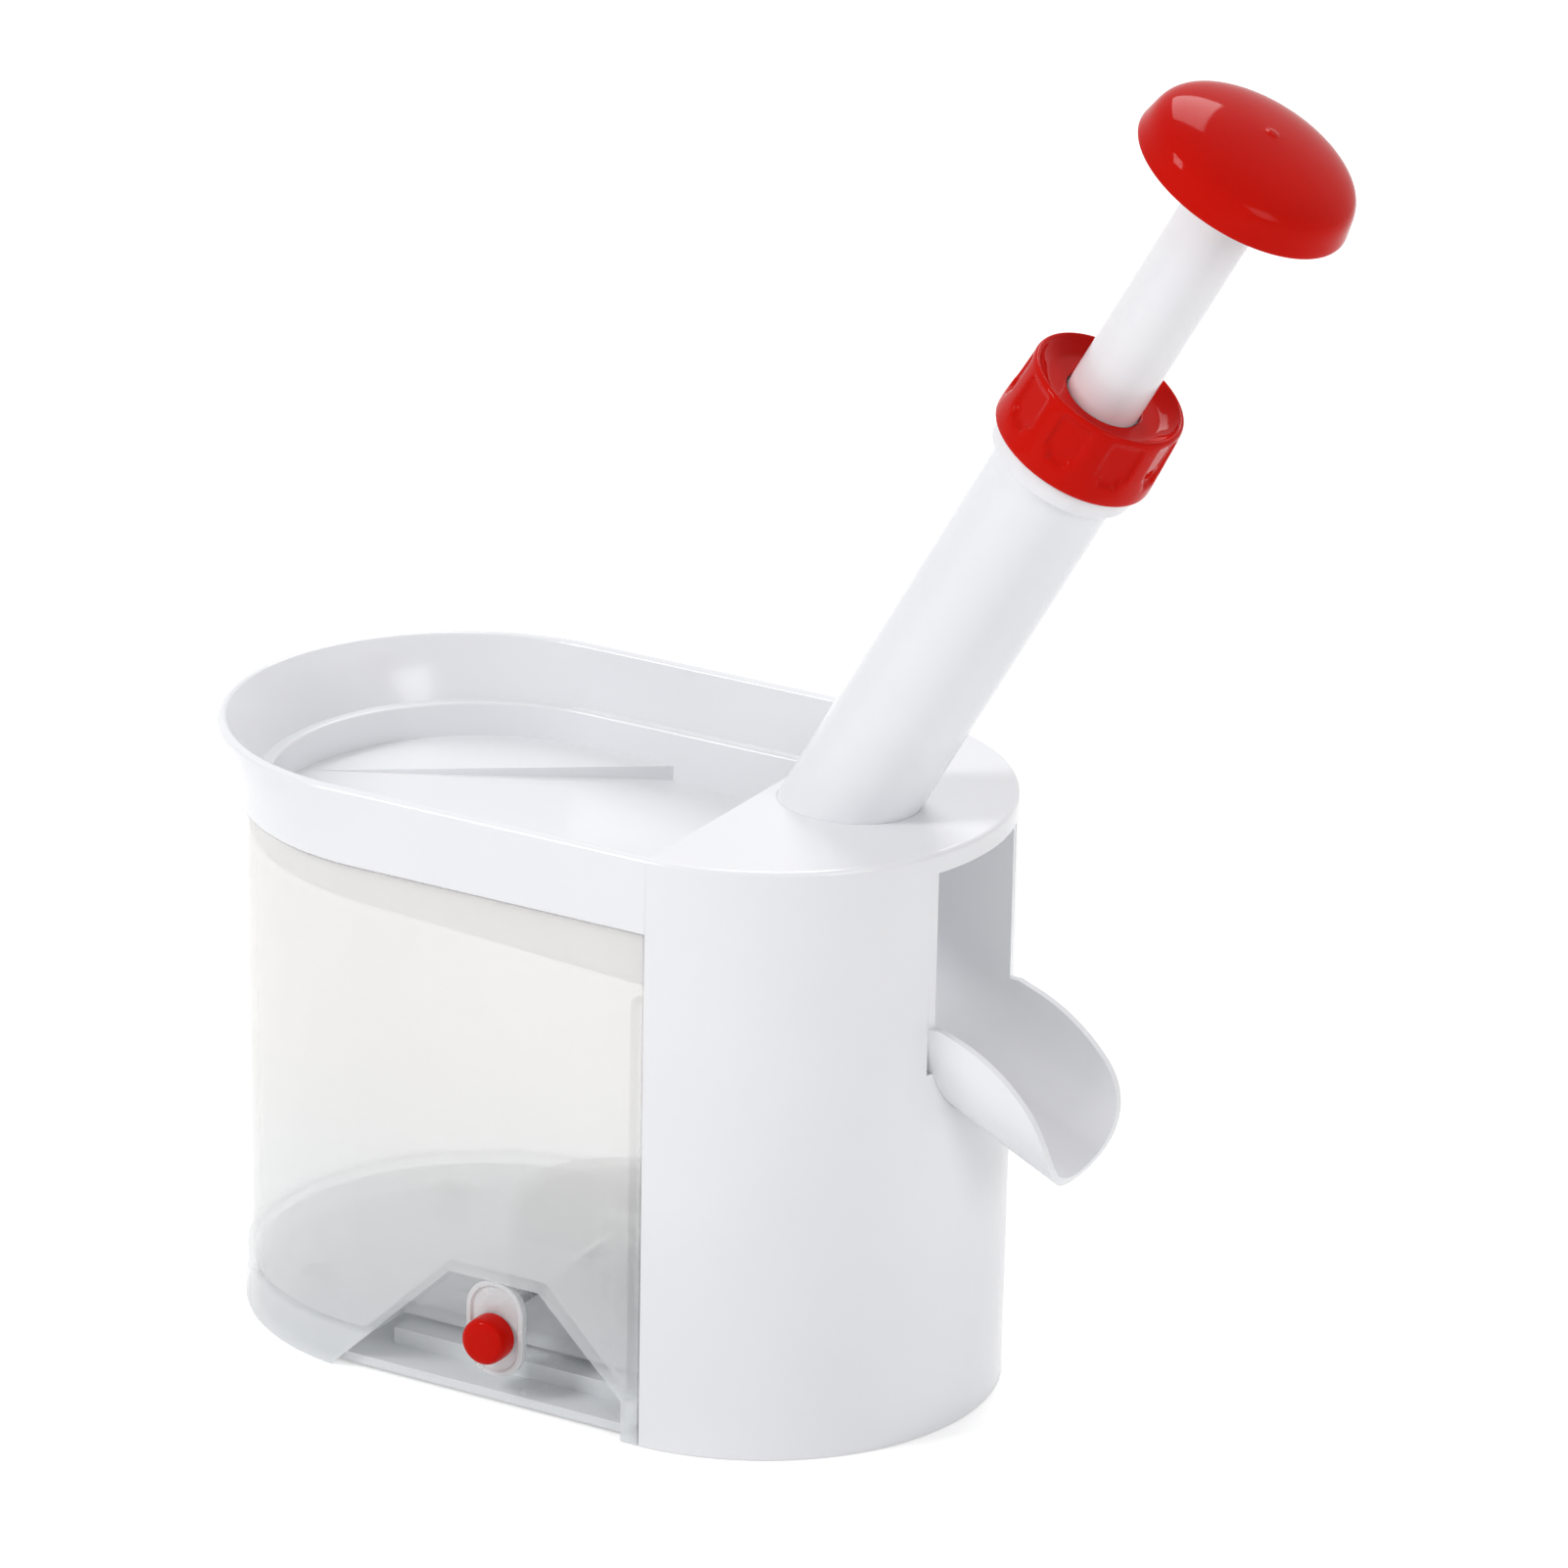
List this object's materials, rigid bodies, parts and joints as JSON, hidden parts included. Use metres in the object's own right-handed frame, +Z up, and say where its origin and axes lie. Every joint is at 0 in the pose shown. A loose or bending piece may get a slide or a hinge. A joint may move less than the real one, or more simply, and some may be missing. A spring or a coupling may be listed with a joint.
{
  "type": "cherry pitter",
  "caption": "Tabletop cherry pitter with a leaning sprung plunger, a hopper tray, a translucent pit container on a suction foot and a side chute.",
  "frame": {"origin": "centre of the suction cup's flat underside on the table, at the centre of the footprint", "axes": "+Z up, +X towards the chute end, -Y towards the lever side"},
  "size_m": [0.2568, 0.1107, 0.2997],
  "materials": {
    "white_plastic": "glossy white moulded plastic",
    "red_plastic": "glossy red moulded plastic",
    "clear_plastic": "milky translucent plastic",
    "milky_plastic": "satin translucent plastic",
    "steel": "drawn stainless steel",
    "grey_rubber": "soft translucent grey rubber",
    "silicone": "white silicone"
  },
  "bodies": {
    "base": {"pit_container": "clear_plastic", "base_plate": "clear_plastic", "base_screws": "steel", "foot_pads": "grey_rubber", "suction_cup": "grey_rubber"},
    "suction_lift": {"suction_stem": "white_plastic"},
    "lever": {"lever_axle": "steel", "lever_cam": "white_plastic", "axle_clip": "steel", "suction_lever": "milky_plastic", "lever_button": "red_plastic"},
    "upper": {"hopper_tray": "white_plastic", "housing_shell": "white_plastic", "chute": "white_plastic", "plunger_barrel": "white_plastic", "barrel_ring": "white_plastic", "spring_washer": "steel", "guide_bush": "white_plastic", "stripper_plate": "white_plastic", "return_spring": "steel", "cherry_seat": "white_plastic", "seat_ring": "silicone"},
    "collar": {"collar_nut": "red_plastic"},
    "plunger": {"plunger_shaft": "white_plastic", "piston_flange": "white_plastic", "needle_rod": "white_plastic", "pitting_needle": "steel", "palm_knob": "red_plastic", "knob_screw": "steel"}
  },
  "joints": [
    {"name": "upper_lift", "type": "slide", "parent": "base", "child": "upper", "axis": [0, 0, 1], "range_m": [0, 0.13]},
    {"name": "plunger_press", "type": "slide", "parent": "upper", "child": "plunger", "axis": [-0.5, 0, -0.866], "range_m": [0, 0.045], "stiffness_N_per_m": 160, "springref_m": -0.03, "deforming": ["return_spring"]},
    {"name": "collar_turn", "type": "hinge", "parent": "upper", "child": "collar", "pos_m": [0.0544, 0, 0.1331], "axis": [0.5, 0, 0.866], "range_deg": [0, 90]},
    {"name": "lever_turn", "type": "hinge", "parent": "base", "child": "lever", "pos_m": [0, 0, 0.0215], "axis": [0, -1, 0], "range_deg": [0, 90]},
    {"name": "suction_pull", "type": "slide", "parent": "base", "child": "suction_lift", "axis": [0, 0, 1], "range_m": [0, 0.0015], "deforming": ["suction_cup"]}
  ],
  "couplings": [
    {"joint": "lever_turn", "follows": "suction_pull", "rad_per_m": 1046.2}
  ]
}
